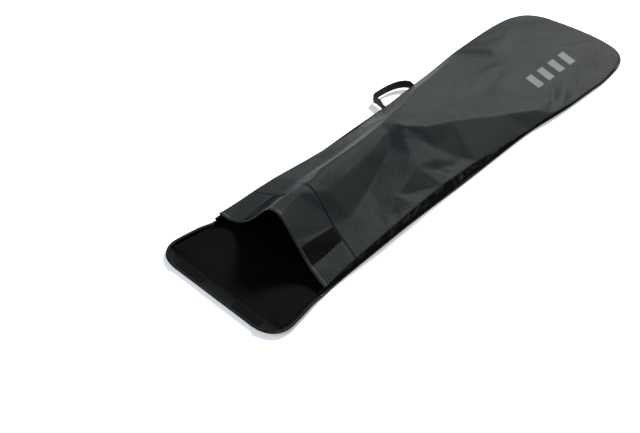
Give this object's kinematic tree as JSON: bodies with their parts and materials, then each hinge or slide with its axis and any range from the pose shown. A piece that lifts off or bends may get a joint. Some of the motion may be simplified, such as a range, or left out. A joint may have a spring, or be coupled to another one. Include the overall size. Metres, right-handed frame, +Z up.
{
  "type": "snowboard bag",
  "caption": "Long flat sewn sack for a snowboard with bindings: raised top, open mouth with a fold-over closure flap, rounded closed end and a webbing side handle.",
  "frame": {"origin": "on the underside of the base, on the centreline, halfway between the flap's free edge and the closed end", "axes": "+X along the bag from the mouth to the closed end, +Y to the handle's side, +Z up from the floor it lies on"},
  "size_m": [1.65, 0.4639, 0.1331],
  "materials": {
    "top_fabric": "charcoal dobby weave with a small raised diamond, water repellent, soft sheen",
    "coated_fabric": "black coated plain weave, smooth, slight gloss at grazing angles",
    "lining": "black coated inner face, matt",
    "binding_tape": "black woven grosgrain tape, matt",
    "loop_pile": "black brushed loop pile, matt",
    "hook_tape": "black moulded nylon hooks, matt",
    "print_ink": "grey screen print, matt, thin",
    "webbing": "black woven polypropylene webbing, ribbed, slight gloss",
    "thread": "black polyester thread"
  },
  "bodies": {
    "bag": {"top_panel": "top_fabric", "mouth_facing": "top_fabric", "mouth_binding": "binding_tape", "loop_patch_left": "loop_pile", "loop_patch_right": "loop_pile", "printed_mark": "print_ink", "bottom_panel": "coated_fabric", "gusset_left": "coated_fabric", "gusset_right": "coated_fabric", "gusset_closed_end": "coated_fabric", "upper_seam_tape": "binding_tape", "lower_seam_tape": "binding_tape", "mouth_bar_tacks": "thread", "handle_end_front": "webbing", "handle_end_rear": "webbing", "handle_bar_tacks": "thread"},
    "flap_base": {"flap_base_panel": "lining", "flap_base_binding": "binding_tape"},
    "flap_end": {"flap_end_panel": "lining", "flap_end_binding": "binding_tape", "flap_end_facing": "top_fabric", "hook_patch_left": "hook_tape", "hook_patch_right": "hook_tape"},
    "handle": {"handle_webbing": "webbing"}
  },
  "joints": [
    {"name": "flap_lift", "type": "hinge", "parent": "bag", "child": "flap_base", "pos_m": [-0.65, 0, 0.00075], "axis": [0, 1, 0], "range_deg": [0, 100]},
    {"name": "flap_tuck", "type": "hinge", "parent": "flap_base", "child": "flap_end", "pos_m": [-0.792, 0, 0.00075], "axis": [0, 1, 0], "range_deg": [0, 80]},
    {"name": "handle_swing", "type": "hinge", "parent": "bag", "child": "handle", "pos_m": [0.105, 0.193, 0.03], "axis": [1, 0, 0], "range_deg": [-5, 100]}
  ]
}
